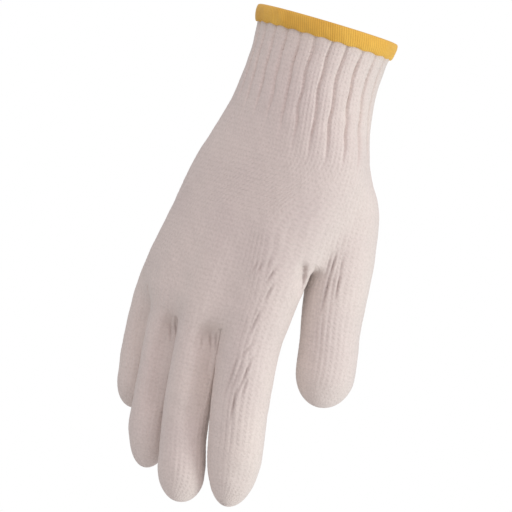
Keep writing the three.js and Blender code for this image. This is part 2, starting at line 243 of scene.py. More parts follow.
# Hem: overedge threads round the opening, the mesh points of each, their height, how many neighbours a
# thread passes on its way round the edge, and how far the hem is uneven
HEM_THREADS = 210
PER_THREAD = 4
THREAD_HEIGHT = 0.3
THREAD_SLANT = 5
HEM_UNEVEN = 0.12

# From this share of its height down, the hem hangs lower between ribs and at each thread
SCALLOPED_FROM = 0.6
HEM_SCALLOP = 0.25
THREAD_DROP = 0.2

# Sections across each limb: height, centre, size across and through the hand. The tip is how far the round
# end reaches below the last section, and the root is the height where the limb parts from the hand.
LIMBS = {
    "palm": {
        "tip": 12,
        "root": None,
        "rows": [
            (0, -1, 0, 74, 57),
            (-13, -1, 0, 71, 54),
            (-27, -1, 0, 70, 53),
            (-45, -0.5, 0, 75, 52),
            (-65, -1, 0, 87, 50),
            (-85, -5, -1, 92, 45),
            (-108, -9, -2.5, 90, 38),
            (-133, -14, -2, 86, 32),
            (-148, -17, -1, 80, 28),
            (-160, -17, -1, 80, 28),
        ],
    },
    "thumb": {
        "tip": 18,
        "root": THUMB_SPLIT,
        "rows": [
            (-23, 7, 3, 12, 12),
            (-53, 15.5, 7, 24, 24),
            (-78, 29, 15, 33, 31),
            (-103, 33, 20, 34, 33),
            (-124, 35.3, 22, 33.4, 31),
            (-143, 37.3, 24, 31.4, 29),
            (-163, 40, 27, 31, 28),
            (-185, 40.2, 29.3, 30.5, 27),
        ],
    },
    "index": {
        "tip": 29,
        "root": SPLITS["index_middle"],
        "rows": [
            (-23, 6, -2, 16, 16),
            (-93, 9, -5, 20, 20),
            (-133, 12, -3, 30, 25),
            (-166, 11.6, -1, 30, 28),
            (-197, 13.7, 2.5, 30, 27),
            (-217, 15.2, 7.4, 28.9, 27),
            (-231, 15.2, 11.4, 28.2, 26.5),
            (-246, 14.6, 14.8, 28.4, 26),
        ],
    },
    "middle": {
        "tip": 15,
        "root": SPLITS["middle_ring"],
        "rows": [
            (-23, -3, -3, 16, 16),
            (-93, -8, -7, 20, 18),
            (-133, -14, -7.5, 26, 24),
            (-166, -15.5, -4.4, 25, 26),
            (-197, -14.3, -1.8, 24, 25),
            (-217, -13.2, 2.1, 23.6, 24),
            (-232, -10.5, 4.4, 24.6, 24),
            (-251, -9.4, 7.5, 23.8, 22.5),
        ],
    },
    "ring": {
        "tip": 22,
        "root": SPLITS["middle_ring"],
        "rows": [
            (-23, -12, -2, 16, 16),
            (-93, -24, -3, 18, 18),
            (-133, -35, -2, 24, 24),
            (-166, -39.1, 1.3, 23, 24),
            (-197, -38, 5.1, 22.5, 24),
            (-217, -37.4, 8.2, 22.5, 23.5),
            (-240, -35.9, 11, 22.8, 22),
        ],
    },
    "little": {
        "tip": 14,
        "root": SPLITS["ring_little"],
        "rows": [
            (-23, -20, 0, 14, 14),
            (-93, -37, 3, 18, 18),
            (-133, -53, 7, 22, 23),
            (-153, -58.2, 11.5, 23.5, 24),
            (-183, -59, 14, 21.5, 22),
            (-200, -57.7, 15.8, 20.5, 20.5),
            (-213.5, -57.6, 17.1, 20, 20),
        ],
    },
}
FINGERS = ["index", "middle", "ring", "little"]
WHOLE_HAND = ["thumb"] + FINGERS

# Step between the heights at which the tables are sampled
SAMPLE_STEP = 0.25


def smoothstep(low, high, value):
    t = np.clip((value - low) / (high - low), 0, 1)
    return t * t * (3 - 2 * t)


def mix(a, b, t):
    return a + (b - a) * t


def unit(vectors):
    return vectors / np.maximum(np.linalg.norm(vectors, axis=-1, keepdims=True), 1e-9)


# A smooth curve from a to b that leaves with one slope and arrives with another
def curve_between(a, b, leaving, arriving, t):
    step = b - a
    square = 3 * step - 2 * leaving - arriving
    cube = leaving + arriving - 2 * step
    return a + t * (leaving + t * (square + t * cube))


# A smooth curve through each column of a limb's table, sampled at even heights
def sample_limb(limb):
    rows = np.array(limb["rows"], float)
    heights = np.append(np.arange(rows[0, 0], rows[-1, 0], -SAMPLE_STEP), rows[-1, 0])
    sections = []
    for z in heights:
        i = np.clip(np.sum(rows[:, 0] > z), 1, len(rows) - 1)
        a, b = rows[i - 1], rows[i]
        before, after = rows[max(i - 2, 0)], rows[min(i + 1, len(rows) - 1)]
        span = b[0] - a[0]
        leaving = (b - before) / (b[0] - before[0]) * span
        arriving = (after - a) / (after[0] - a[0]) * span if i + 1 < len(rows) else 0
        sections.append(curve_between(a, b, leaving, arriving, (z - a[0]) / span))
    limb["heights"] = heights[::-1]
    limb["sections"] = np.array(sections)[::-1, 1:]


for limb in LIMBS.values():
    sample_limb(limb)


def section_at(name, z):
    limb = LIMBS[name]
    return [np.interp(z, limb["heights"], limb["sections"][:, i]) for i in range(4)]


# About how far points lie outside a limb, and less than 0 inside it
def limb_distance(name, p):
    limb = LIMBS[name]
    x, y, width, depth = section_at(name, p[..., 2])
    across, through, tip = width / 2, depth / 2, limb["tip"]
    u = p[..., 0] - x
    v = p[..., 1] - y
    w = np.maximum(0, limb["heights"][0] + tip - p[..., 2])
    near = np.sqrt((u / across) ** 2 + (v / through) ** 2 + (w / tip) ** 2)
    slope = np.sqrt((u / across**2) ** 2 + (v / through**2) ** 2 + (w / tip**2) ** 2)
    inside = -np.minimum(across, through)
    return np.where(slope < 1e-6, inside, near * (near - 1) / np.maximum(slope, 1e-6))


def smooth_min(a, b, radius):
    overlap = np.maximum(radius - np.abs(a - b), 0) / radius
    return np.minimum(a, b) - overlap**2 * radius / 4


# A function for the distance from one branch of the tube: the whole glove, the four-finger hand or one
# stall. Below its root a branch keeps clear of its neighbours.
def branch_distance(names):
    others = [name for name in WHOLE_HAND if name not in names]
    single = len(names) == 1
    root = LIMBS[names[0]]["root"] if single else THUMB_SPLIT
    root_length = THUMB_ROOT_LENGTH if root == THUMB_SPLIT else FINGER_ROOT_LENGTH

    def distance(p):
        each = {name: limb_distance(name, p) for name in LIMBS}
        fingers = each[FINGERS[0]]
        for name in FINGERS[1:]:
            fingers = smooth_min(fingers, each[name], FINGER_BLEND)
        hand = smooth_min(fingers, each["palm"], PALM_BLEND)
        skin = smooth_min(hand, each["thumb"], THUMB_BLEND)
        if not others:
            return skin
        own_limbs = names if single else names + ["palm"]
        own = np.min([each[name] for name in own_limbs], axis=0)
        nearest = np.min([each[name] for name in others], axis=0)
        apart = smoothstep(-root, root_length - root, -p[..., 2])
        joined = skin if root == THUMB_SPLIT else hand
        form = mix(joined, own if single else hand, apart)
        return -smooth_min(-form, -(own - nearest + SLIT_WIDTH) / 2, SLIT_BLEND)

    return distance


# Where rays from inside the glove meet its skin
def on_skin(base, direction, distance):
    reach = np.zeros(base.shape[:-1])
    for _ in range(SKIN_STEPS):
        step = -distance(base + direction * reach[..., None])
        reach = reach + np.clip(step, *SKIN_STEP_RANGE)
    return base + direction * reach[..., None]


def skin_normal(p, distance):
    slopes = []
    for axis in np.eye(3):
        slopes.append(distance(p + axis * NORMAL_STEP) - distance(p - axis * NORMAL_STEP))
    return unit(np.stack(slopes, -1))


# The centre of a limb, which stays where the cuff ends for heights above it
def centre(name, z):
    x, y, _, _ = section_at(name, np.minimum(z, CUFF_END))
    return np.stack([x, y, np.asarray(z, float)], -1)


def heading(start, end):
    return np.arctan2(end[..., 1] - start[..., 1], end[..., 0] - start[..., 0])


# The heading from a limb's neighbour on the little side to its neighbour on the thumb side. The limb itself
# is taken for a neighbour that is missing, and for the thumb beside the index finger.
def limb_turn(name, z):
    level = np.maximum(z, LIMBS[name]["root"])
    k = WHOLE_HAND.index(name)
    thumb_side = WHOLE_HAND[max(k - 1, min(k, 1))]
    little_side = WHOLE_HAND[min(k + 1, len(WHOLE_HAND) - 1)]
    return heading(centre(little_side, level), centre(thumb_side, level))


# Columns across a face of a limb and on its side
def across_of(name):
    return ACROSS["thumb" if name == "thumb" else "finger"] * PER_WALE


SIDE = ACROSS["side"] * PER_WALE


# The columns of one closed row round neighbouring limbs, counter-clockwise from above, starting on the
# thumb side of the first limb at its back-of-hand corner. A column belongs to its own limb and leans by
# share towards the other one. face is 1 on the palm, -1 on the back and 0 on the sides.
def columns_of(names):
    columns = []
    last = len(names) - 1

    def add(own, other=-1, share=0.0, face=0, angle=0.0):
        columns.append((own, other, share, face, angle))

    def corner_of(k):
        return math.pi / 2 * SIDE / (across_of(names[k]) + SIDE)

    def add_face(k, fraction, face):
        corner = corner_of(k)
        share = abs(1 - 2 * fraction)
        other = k - 1 if fraction < 0.5 else k + 1
        if 0 <= other <= last:
            add(k, other, share, face, math.pi / 2)
        else:
            add(k, -1, share, face, corner if fraction < 0.5 else math.pi - corner)

    for i in range(SIDE + 1):
        add(0, angle=mix(-corner_of(0), corner_of(0), i / SIDE))
    for k, name in enumerate(names):
        for j in range(1, across_of(name) + 1):
            add_face(k, j / across_of(name), 1)
    for i in range(1, SIDE + 1):
        add(last, angle=math.pi + mix(-corner_of(last), corner_of(last), i / SIDE))
    for k in range(last, -1, -1):
        across = across_of(names[k])
        for j in range(1, across + 1):
            if k > 0 or j < across:
                add_face(k, 1 - j / across, -1)
    return np.array(columns)


# Rays from inside the glove for a grid of heights, one column of the grid for each column of the row
def rays(names, heights):
    own, other, share, face, angle = columns_of(names).T
    centres = np.stack([centre(name, heights) for name in names])
    turns = np.stack([limb_turn(name, heights) for name in names])
    rows, count = heights.shape
    pick = np.arange(count)
    own = own.astype(int)
    other = other.astype(int)
    own_centre = np.moveaxis(centres[own, :, pick], 0, 1)
    own_turn = turns[own, :, pick].T
    has_other = other >= 0
    near = np.where(has_other, other, own)
    other_centre = np.moveaxis(centres[near, :, pick], 0, 1)
    thumbward = np.where((near < own)[None, :, None], other_centre, own_centre)
    littleward = np.where((near < own)[None, :, None], own_centre, other_centre)
    join_turn = np.where(has_other, heading(littleward, thumbward), own_turn)
    join = np.where(has_other[None, :, None], (own_centre + other_centre) / 2, own_centre)
    base = mix(own_centre, join, share[None, :, None])
    on_face = mix(own_turn, join_turn, share) + face * mix(math.pi / 2, angle, share)
    turn = np.where(face == 0, own_turn + angle, on_face)
    direction = np.stack([np.cos(turn), np.sin(turn), np.zeros_like(turn)], -1)
    return base, direction


# A closed row with evenly spaced points. Below an evenness of 1, they stay nearer to where they were.
def even_row(row, count, evenness=1):
    closed = np.vstack([row, row[:1]])
    along = np.append(0, np.cumsum(np.linalg.norm(np.diff(closed, axis=0), axis=1)))
    target = along[-1] * np.arange(count) / count
    if evenness < 1:
        target = mix(along[:-1], target, evenness)
    return np.stack([np.interp(target, along, closed[:, axis]) for axis in range(3)], -1)


def course_count(top, bottom):
    return max(round((top - bottom) / COURSE), 1)


def course_heights(top, bottom):
    return np.linspace(top, bottom, course_count(top, bottom) * PER_COURSE + 1)


# Points of fabric with the wale, course, rib and fullness of relief at each. A sheet is a grid of their
# numbers, and sheets that meet share the row between them. A rim is a sheet, one of its rows and whether
# the rim faces up.
class Fabric:
    def __init__(self):
        self.places = np.zeros((0, 3))
        self.normals = np.zeros((0, 3))
        self.wales = np.zeros(0)
        self.courses = np.zeros(0)
        self.ribs = np.zeros(0)
        self.fullness = np.zeros(0)
        self.sheets = []
        self.rims = []

    def add(self, places, normals, wales, courses, ribs=0.0, fullness=1.0):
        shape = places.shape[:-1]
        first = len(self.places)
        self.places = np.vstack([self.places, places.reshape(-1, 3)])
        self.normals = np.vstack([self.normals, normals.reshape(-1, 3)])
        self.wales = np.append(self.wales, np.broadcast_to(wales, shape).ravel())
        self.courses = np.append(self.courses, np.broadcast_to(courses, shape).ravel())
        self.ribs = np.append(self.ribs, np.broadcast_to(ribs, shape).ravel())
        self.fullness = np.append(self.fullness, np.broadcast_to(fullness, shape).ravel())
        return first + np.arange(np.prod(shape)).reshape(shape)

    # Rows of fabric round these limbs, the first of them taken over from the sheet above
    def extend(self, names, heights, first_row):
        distance = branch_distance(names)
        base, direction = rays(names, heights[1:])
        away = self.places[first_row] - base
        away[..., 2] = 0
        settled = smoothstep(0, SETTLE_LENGTH, heights[0] - heights[1:])[..., None]
        places = on_skin(base, unit(mix(unit(away), direction, settled)), distance)
        wales = np.arange(heights.shape[1]) / PER_WALE
        courses = self.courses[first_row[0]] + np.arange(1, len(heights))[:, None] / PER_COURSE
        ids = self.add(places, skin_normal(places, distance), wales, courses)
        sheet = np.vstack([first_row, ids])
        self.sheets.append(sheet)
        return sheet

    # Points of a web that hangs between two points of a row
    def web(self, back, palm, drop):
        share = np.arange(1, SIDE) / SIDE
        places = mix(self.places[back], self.places[palm], share[:, None])
        places[:, 2] -= drop * np.sin(math.pi * share)
        normals = unit(mix(self.normals[back], self.normals[palm], share[:, None]))
        ids = self.add(places, normals, np.arange(1, SIDE) / PER_WALE, self.courses[back])
        return np.concatenate([[back], ids, [palm]])

    # Divides a row round several limbs into one row for each group of limbs, with a web between groups
    def divide(self, row, names, groups, drop):
        total = sum(across_of(name) for name in names)
        palm_corner = [SIDE]
        for name in names:
            palm_corner.append(palm_corner[-1] + across_of(name))
        back_corner = [(3 * SIDE + 2 * total - corner) % len(row) for corner in palm_corner]
        webs = []
        for k in range(1, len(names)):
            joined = k not in np.cumsum(groups)
            webs.append(None if joined else self.web(row[back_corner[k]], row[palm_corner[k]], drop))
        parts = []
        first = 0
        for group in groups:
            last = first + group
            thumb_side = row[: SIDE + 1] if first == 0 else webs[first - 1]
            palm_side = row[palm_corner[first] + 1 : palm_corner[last]]
            if last == len(names):
                little_side = row[palm_corner[last] : palm_corner[last] + SIDE + 1]
            else:
                little_side = webs[last - 1][::-1]
            back_end = len(row) if first == 0 else back_corner[first]
            back_side = row[back_corner[last] + 1 : back_end]
            parts.append(np.concatenate([thumb_side, palm_side, little_side, back_side]))
            first = last
        return parts

    def heights_of(self, row):
        return self.places[row, 2]


# Heights of the rows from one row's points down to the given heights
def fan(start, end, courses):
    share = np.linspace(0, 1, courses * PER_COURSE + 1)[:, None]
    return mix(start[None], np.broadcast_to(end, start.shape)[None], share)


# The height at each column where the hand's rows end, from the heights at its limbs and between them
def split_grid():
    between = list(SPLITS.values())
    at = [between[0], between[1], mix(between[1], between[2], RING_ROOT_SHARE), between[2]]
    own, other, share, _, _ = columns_of(FINGERS).T
    heights = []
    for k, near, t in zip(own.astype(int), other.astype(int), share):
        join = between[min(k, near)] if near >= 0 else at[k]
        heights.append(mix(at[k], join, t))
    return np.array(heights)


# Level rows round the whole hand, with wales as evenly spaced as evenness says for each row
def wrist_sheet(fabric, heights, evenness, first_course):
    grid = np.repeat(heights[:, None], len(columns_of(WHOLE_HAND)), axis=1)
    distance = branch_distance(WHOLE_HAND)
    base, direction = rays(WHOLE_HAND, grid)
    rows = on_skin(base, direction, distance)
    places = np.stack([even_row(row, len(row), share) for row, share in zip(rows, evenness)])
    courses = first_course + np.arange(len(heights)) / PER_COURSE
    wales = np.arange(grid.shape[1]) / PER_WALE
    ribs = wales / WALES_PER_RIB
    ids = fabric.add(places, skin_normal(places, distance), wales, courses[:, None], ribs)
    fabric.sheets.append(ids)
    return ids


def cuff_fabric():
    fabric = Fabric()
    heights = course_heights(CUFF_TOP, CUFF_END)
    sheet = wrist_sheet(fabric, heights, np.ones(len(heights)), 0)
    fabric.rims = [(sheet, 0, True), (sheet, -1, False)]
    return fabric


def palm_fabric():
    fabric = Fabric()
    heights = course_heights(CUFF_END, THUMB_SPLIT)
    evenness = smoothstep(EVEN_UNTIL, CUFF_END, heights)
    wrist = wrist_sheet(fabric, heights, evenness, course_count(CUFF_TOP, CUFF_END))
    thumb_row, hand_row = fabric.divide(wrist[-1], WHOLE_HAND, [1, 4], THUMB_WEB_DROP)

    courses = course_count(THUMB_SPLIT, THUMB_CUT)
    thumb_heights = fan(fabric.heights_of(thumb_row), THUMB_CUT, courses)
    thumb = fabric.extend(["thumb"], thumb_heights, thumb_row)
    fabric.rims = [(wrist, 0, True), (thumb, -1, False)]

    splits = split_grid()
    courses = course_count(THUMB_SPLIT, splits.mean())
    hand = fabric.extend(FINGERS, fan(fabric.heights_of(hand_row), splits, courses), hand_row)

    roots = fabric.divide(hand[-1], FINGERS, [1, 1, 1, 1], FINGER_WEB_DROP)
    for name, row in zip(FINGERS, roots):
        cut = LITTLE_CUT if name == "little" else FINGER_CUT
        start = fabric.heights_of(row)
        finger = fabric.extend([name], fan(start, cut, course_count(start.mean(), cut)), row)
        fabric.rims.append((finger, -1, False))
    return fabric


# A stall from its cut edge to its tip, where its last rows close round the end of the limb
def stall_fabric(name, cut):
    fabric = Fabric()
    distance = branch_distance([name])
    limb = LIMBS[name]
    tip_height = limb["heights"][0] + min(limb["tip"], limb["rows"][-1][3] / 2)
    heights = course_heights(cut, tip_height)
    base, direction = rays([name], np.repeat(heights[:, None], len(columns_of([name])), axis=1))
    places = on_skin(base, direction, distance)

    bottom = centre(name, tip_height)
    outward = places[-1] - bottom
    outward[:, 2] = 0
    slopes = np.linspace(0, math.pi / 2, TIP_COURSES * PER_COURSE + 1)[1:, None, None]
    direction = unit(outward) * np.cos(slopes) + np.array([0, 0, -1]) * np.sin(slopes)
    cap = on_skin(np.broadcast_to(bottom, direction.shape), direction, distance)
    cap[-1] = cap[-1].mean(axis=0)

    places = np.concatenate([places, cap])
    courses = np.arange(len(places)) / PER_COURSE
    wales = np.arange(places.shape[1]) / PER_WALE
    fullness = np.concatenate([np.ones(len(heights)), np.cos(slopes[:, 0, 0])])
    normals = skin_normal(places, distance)
    ids = fabric.add(places, normals, wales, courses[:, None], fullness=fullness[:, None])
    ids[-1] = ids[-1, 0]
    fabric.sheets.append(ids)
    fabric.rims = [(ids, 0, True)]
    return fabric


random = np.random.default_rng(11)
SWAY_WAVES = 9
SWAY_STEEPNESS = (0.6, 1.5)


# A function for a smooth random value between about -1 and 1, the same at the same place
def make_sway(size):
    directions = unit(random.normal(size=(SWAY_WAVES, 3)))
    directions *= random.uniform(*SWAY_STEEPNESS, (SWAY_WAVES, 1))
    phases = random.uniform(0, 2 * math.pi, SWAY_WAVES)

    def sway(p):
        waves = np.sin(p @ directions.T * (2 * math.pi / size) + phases)
        return waves.sum(-1) / math.sqrt(SWAY_WAVES)

    return sway


patch_sway = make_sway(28)
loop_sway = make_sway(5)
rib_sway = make_sway(9)

# Places are multiplied by these where such a value varies faster or slower, or more slowly up and down
FINER = 1.7
COARSER = 0.6
TALL_WAVES = np.array([1, 1, 0.7])
TALL_PATCHES = np.array([2, 2, 1])


# How far a rib of the cuff stands from the plain skin: a broad round rib and a narrow valley
def rib_lift(p, ribs):
    towards_thumb = smoothstep(RIB_SIDES["little_side"], RIB_SIDES["thumb_side"], p[:, 0])
    end = mix(RIB_END["little_side"], RIB_END["thumb_side"], towards_thumb)
    fade = smoothstep(end, end + RIB_FADE, p[:, 2])
    wander = RIB_WANDER * rib_sway(p * TALL_WAVES)
    from_valley = np.abs((ribs + wander) % 1 - 0.5)
    valley = np.exp(-((from_valley / RIB_VALLEY_WIDTH) ** 2))
    valley *= 1 - VALLEY_LOST_NEAR_HEM * smoothstep(*NEAR_HEM, p[:, 2])
    crown = np.sin(math.pi * from_valley)
    return RIB_HEIGHT * fade * (RIB_BASE + RIB_CROWN * crown - RIB_VALLEY * valley)


# How much a surface faces the camera
def facing_camera(normals):
    return np.clip(normals @ TO_CAMERA, 0, 1)


# For each point, its place along a line in the camera's view, how far it lies beyond the line's ends and
# how far beside the line
def along_line(p, top_z, bottom_z, top_across, bottom_across):
    z = p[:, 2]
    t = np.clip((top_z - z) / (top_z - bottom_z), 0, 1)
    beyond = np.maximum(np.maximum(z - top_z, bottom_z - z), 0)
    beside = np.abs(p @ ACROSS_VIEW - mix(top_across, bottom_across, t))
    return t, beyond, beside


def bell(distance, width):
    return np.exp(-((distance / width) ** 2))


# How far each gap between wales is pulled open, and the yarn pushed aside by it
def opened_at(p, facing):
    opened = np.zeros(len(p))
    pushed = np.zeros(len(p))
    for top_z, top_across, bottom_z, bottom_across, amount in OPENED_GAPS:
        t, beyond, beside = along_line(p, top_z, bottom_z, top_across, bottom_across)
        open_here = mix(OPENED_AT_ENDS, 1, np.sin(math.pi * t))
        strength = amount * facing * bell(beyond, OPENED_FADE) * open_here
        opened = np.maximum(opened, strength * bell(beside, OPENED_WIDTH))
        pushed = np.maximum(pushed, strength * bell(beside - PUSHED_ASIDE, OPENED_WIDTH))
    return opened, pushed


# How much the fingers stretch the wales, in broken patches
def stretch_at(p, facing):
    stretch = np.zeros(len(p))
    for top_z, bottom_z, top_across, bottom_across, half_width, amount in STRETCHED:
        _, beyond, beside = along_line(p, top_z, bottom_z, top_across, bottom_across)
        stretch = np.maximum(stretch, amount * bell(beside, half_width) * bell(beyond, STRETCHED_FADE))
    broken = STRETCHED_MEAN + STRETCHED_UNEVEN * patch_sway(p * TALL_PATCHES)
    return stretch * facing * np.clip(broken, 0, 1)


# How far the loops stand out from the fabric
def loop_lift(fabric):
    p = fabric.places
    phase = fabric.wales % 1
    ridge = 0.5 - 0.5 * np.cos(2 * math.pi * phase)
    lean = np.abs(2 * phase - 1)
    stitch = np.cos(2 * math.pi * (fabric.courses + STITCH_LEAN * lean))
    unevenness = 1 + PATCH_UNEVEN * patch_sway(p) + LOOP_UNEVEN * loop_sway(p)
    gap = bell(np.minimum(phase, 1 - phase), GAP_WIDTH)
    gap *= GAP_MEAN + GAP_UNEVEN * loop_sway(p * FINER)

    lift = WALE_HEIGHT * (ridge - WALE_BASE) * unevenness * (1 + STRETCHED_RIDGE * fabric.stretch)
    lift += STITCH_HEIGHT * stitch * mix(STITCH_BASE, 1, ridge) * unevenness
    lift -= GAP_DEPTH * gap * fabric.stretch
    lift += UNEVEN_HEIGHT * loop_sway(p * COARSER)
    lift += PUSHED_HEIGHT * fabric.pushed - OPENED_DEPTH * fabric.opened
    return lift * fabric.fullness**CROWDING


# How far dents move points, pressed in from the side of the camera
def dent_at(p, facing):
    depth = np.zeros(len(p))
    for x, y, z, radius, amount in DENTS:
        depth += amount * bell(np.linalg.norm(p - np.array([x, y, z]), axis=1), radius)
    return -(depth * facing)[:, None] * TO_CAMERA


# Faces and the wale and course at each of their corners
class Faces:
    def __init__(self):
        self.corners = []
        self.uvs = []

    # Adds a face without the corners that fall together, as at the tip of a stall
    def add(self, corners, uvs):
        kept = [i for i in range(len(corners)) if corners[i] != corners[i - 1]]
        self.corners.append([int(corners[i]) for i in kept])
        self.uvs.extend(uvs[i] for i in kept)

    # Faces between the rows of a closed grid, with its wales per column and the course of each row
    def add_grid(self, grid, wales, courses, inward=False):
        rows, count = grid.shape
        for r in range(rows - 1):
            v, w = courses[r], courses[r + 1]
            for i in range(count):
                j = (i + 1) % count
                a, b = i * wales, (i + 1) * wales
                corners = [grid[r, i], grid[r + 1, i], grid[r + 1, j], grid[r, j]]
                uvs = [(a, v), (a, w), (b, w), (b, v)]
                if inward:
                    corners.reverse()
                    uvs.reverse()
                self.add(corners, uvs)

    # A rim from an edge of the outside to the coarser edge of the inside
    def add_rim(self, edge, inner_of, course, upward):
        for i in range(0, len(edge), PER_WALE):
            outer = [edge[(i + k) % len(edge)] for k in range(PER_WALE + 1)]
            ring = outer + [inner_of[outer[-1]], inner_of[outer[0]]]
            if not upward:
                ring.reverse()
            self.add(ring, [(i / PER_WALE, course)] * len(ring))

    def make_object(self, name, places):
        mesh = bpy.data.meshes.new(name)
        mesh.from_pydata((places * MM).tolist(), [], self.corners)
        layer = mesh.uv_layers.new(name="loops")
        layer.data.foreach_set("uv", np.array(self.uvs, np.float32).ravel())
        mesh.polygons.foreach_set("use_smooth", [True] * len(mesh.polygons))
        mesh.set_sharp_from_angle(angle=SHARP_ANGLE)
        mesh.update()
        made = bpy.data.objects.new(name, mesh)
        bpy.context.scene.collection.objects.link(made)
        return made


# The closed body of a fabric: its loops outside, a plain inside and the rims between
def fabric_object(name, fabric):
    p = fabric.places
    facing = facing_camera(fabric.normals)
    fabric.stretch = stretch_at(p, facing)
    fabric.opened, fabric.pushed = opened_at(p, facing)
    dented = p + dent_at(p, facing)
    ribs = rib_lift(p, fabric.ribs)
    outside = dented + fabric.normals * (loop_lift(fabric) + ribs)[:, None]
    inside = dented + fabric.normals * (ribs - WALL)[:, None]

    coarse_sheets = [sheet[::PER_COURSE, ::PER_WALE] for sheet in fabric.sheets]
    used = np.unique(np.concatenate([sheet.ravel() for sheet in coarse_sheets]))
    inner_of = np.full(len(outside), -1)
    inner_of[used] = len(outside) + np.arange(len(used))

    faces = Faces()
    for sheet, coarse in zip(fabric.sheets, coarse_sheets):
        courses = fabric.courses[sheet[:, 0]]
        faces.add_grid(sheet, 1 / PER_WALE, courses)
        faces.add_grid(inner_of[coarse], 1, courses[::PER_COURSE], inward=True)
    for sheet, row, upward in fabric.rims:
        edge = sheet[row]
        faces.add_rim(edge, inner_of, fabric.courses[edge[0]], upward)

    made = faces.make_object(name, np.vstack([outside, inside[used]]))
    for title, values in (("stretch", fabric.stretch), ("opened", fabric.opened)):
        attribute = made.data.attributes.new(title, "FLOAT", "POINT")
        plain_inside = np.zeros(len(used))
        attribute.data.foreach_set("value", np.append(values, plain_inside).astype(np.float32))
    return made


# Section of the hem: how far out from the plain skin, and height
HEM_PROFILE = [
    (1.3, -HEM_HEIGHT + 0.3),
    (1.9, -HEM_HEIGHT * 0.75),
    (2.0, -HEM_HEIGHT * 0.5),
    (1.8, -HEM_HEIGHT * 0.25),
    (1.0, -0.4),
    (-0.9, 0),
    (-2.8, -0.5),
    (-3.3, -HEM_HEIGHT * 0.4),
    (-3.0, -HEM_HEIGHT + 0.6),
    (-2.0, -HEM_HEIGHT),
    (0.2, -HEM_HEIGHT),
]
PROFILE_STEPS = 3


# A closed smooth curve through points
def closed_curve(points, steps):
    points = np.array(points, float)
    curve = []
    for i in range(len(points)):
        before, a, b, after = (points[(i + k) % len(points)] for k in (-1, 0, 1, 2))
        for step in range(steps):
            curve.append(curve_between(a, b, (b - before) / 2, (after - a) / 2, step / steps))
    return np.array(curve)


# A band of slanting threads that follows the section of the hem round the opening
def hem_object(name):
    profile = closed_curve(HEM_PROFILE, PROFILE_STEPS)
    steps = len(profile)
    count = HEM_THREADS * PER_THREAD
    distance = branch_distance(WHOLE_HAND)
    heights = np.repeat(profile[:, 1:], len(columns_of(WHOLE_HAND)), axis=1)
    rows = on_skin(*rays(WHOLE_HAND, heights), distance)
    places = np.stack([even_row(row, count) for row in rows])
    normals = skin_normal(places, distance)
    normals[..., 2] = 0

    column = np.arange(count)[None, :]
    turn = np.arange(steps)[:, None] / steps
    thread = np.abs(np.sin(math.pi * (column / PER_THREAD + THREAD_SLANT * turn)))
    outward = np.where(profile[:, :1] > -1, 1, -1)
    out = profile[:, :1] + THREAD_HEIGHT * thread * outward + HEM_UNEVEN * loop_sway(places)
    low = smoothstep(-HEM_HEIGHT * SCALLOPED_FROM, -HEM_HEIGHT, profile[:, 1:])
    scallop = HEM_SCALLOP * np.cos(2 * math.pi * RIBS * column / count)
    places = places + unit(normals) * out[..., None]
    places[..., 2] += low * (scallop - THREAD_DROP * thread)

    faces = Faces()
    ids = np.arange(steps * count).reshape(steps, count)
    for r in range(steps):
        s = (r + 1) % steps
        for i in range(count):
            j = (i + 1) % count
            a, b = i / PER_THREAD, (i + 1) / PER_THREAD
            uvs = ((a, r), (b, r), (b, r + 1), (a, r + 1))
            faces.add((ids[r, i], ids[r, j], ids[s, j], ids[s, i]), uvs)
    return faces.make_object(name, places.reshape(-1, 3))


# Colours, as red, green, blue and opacity
KNIT_TONES = [(0.70, 0.62, 0.575, 1), (0.755, 0.675, 0.615, 1)]
SPECK_TONES = [(0.86, 0.85, 0.84, 1), (1, 1, 1, 1)]
# Painted shade in the gaps between wales
PAINTED_GAP_SHADE_COLOUR = (0.42, 0.36, 0.33, 1)
# Painted shade in the gaps pulled open between wales
PAINTED_OPENED_SHADE_COLOUR = (0.4, 0.33, 0.3, 1)
HEM_TONES = [(0.76, 0.435, 0.067, 1), (0.89, 0.555, 0.1, 1)]
# Painted shade in the grooves between the hem's threads
PAINTED_GROOVE_SHADE_COLOUR = (0.34, 0.17, 0.03, 1)
FLOOR_TONES = [(0.9, 0.9, 0.9, 1), (0.92, 0.92, 0.92, 1)]

# Spots of noise in a metre: patches of tone, specks, fuzz and fibres
KNIT_TONE_SCALE = 22
HEM_TONE_SCALE = 60
FLOOR_TONE_SCALE = 3
SPECK_SCALE = 900
FUZZ_SCALE = 500
KNIT_FIBRE_SCALE = 1600
HEM_FIBRE_SCALE = 1500

# Height of the bumps in metres, their strength, and what the knit's bumps are made of
KNIT_BUMP = 0.00018
HEM_BUMP = 0.0002
BUMP_STRENGTH = 0.7
TWIST_PART = 0.25
LOOP_PART = 0.5
FIBRE_PART = 0.9
FUZZ_PART = 1.2
TWISTS_PER_LOOP = 3

# How much the specks show, how dark the painted shade in the gaps between wales is, how much darker where
# they are stretched, how narrow these gaps are, and how dark the painted shade in an opened gap is
SPECK_SHARE = 0.6
GAP_SHADE = 0.08
STRETCHED_SHADE = 0.55
GAP_NARROWNESS = 6
OPENED_SHADE = 0.7

# How narrow and how dark the painted shade is in the grooves between the threads of the hem
GROOVE_NARROWNESS = 0.5
GROOVE_SHADE = 0.5


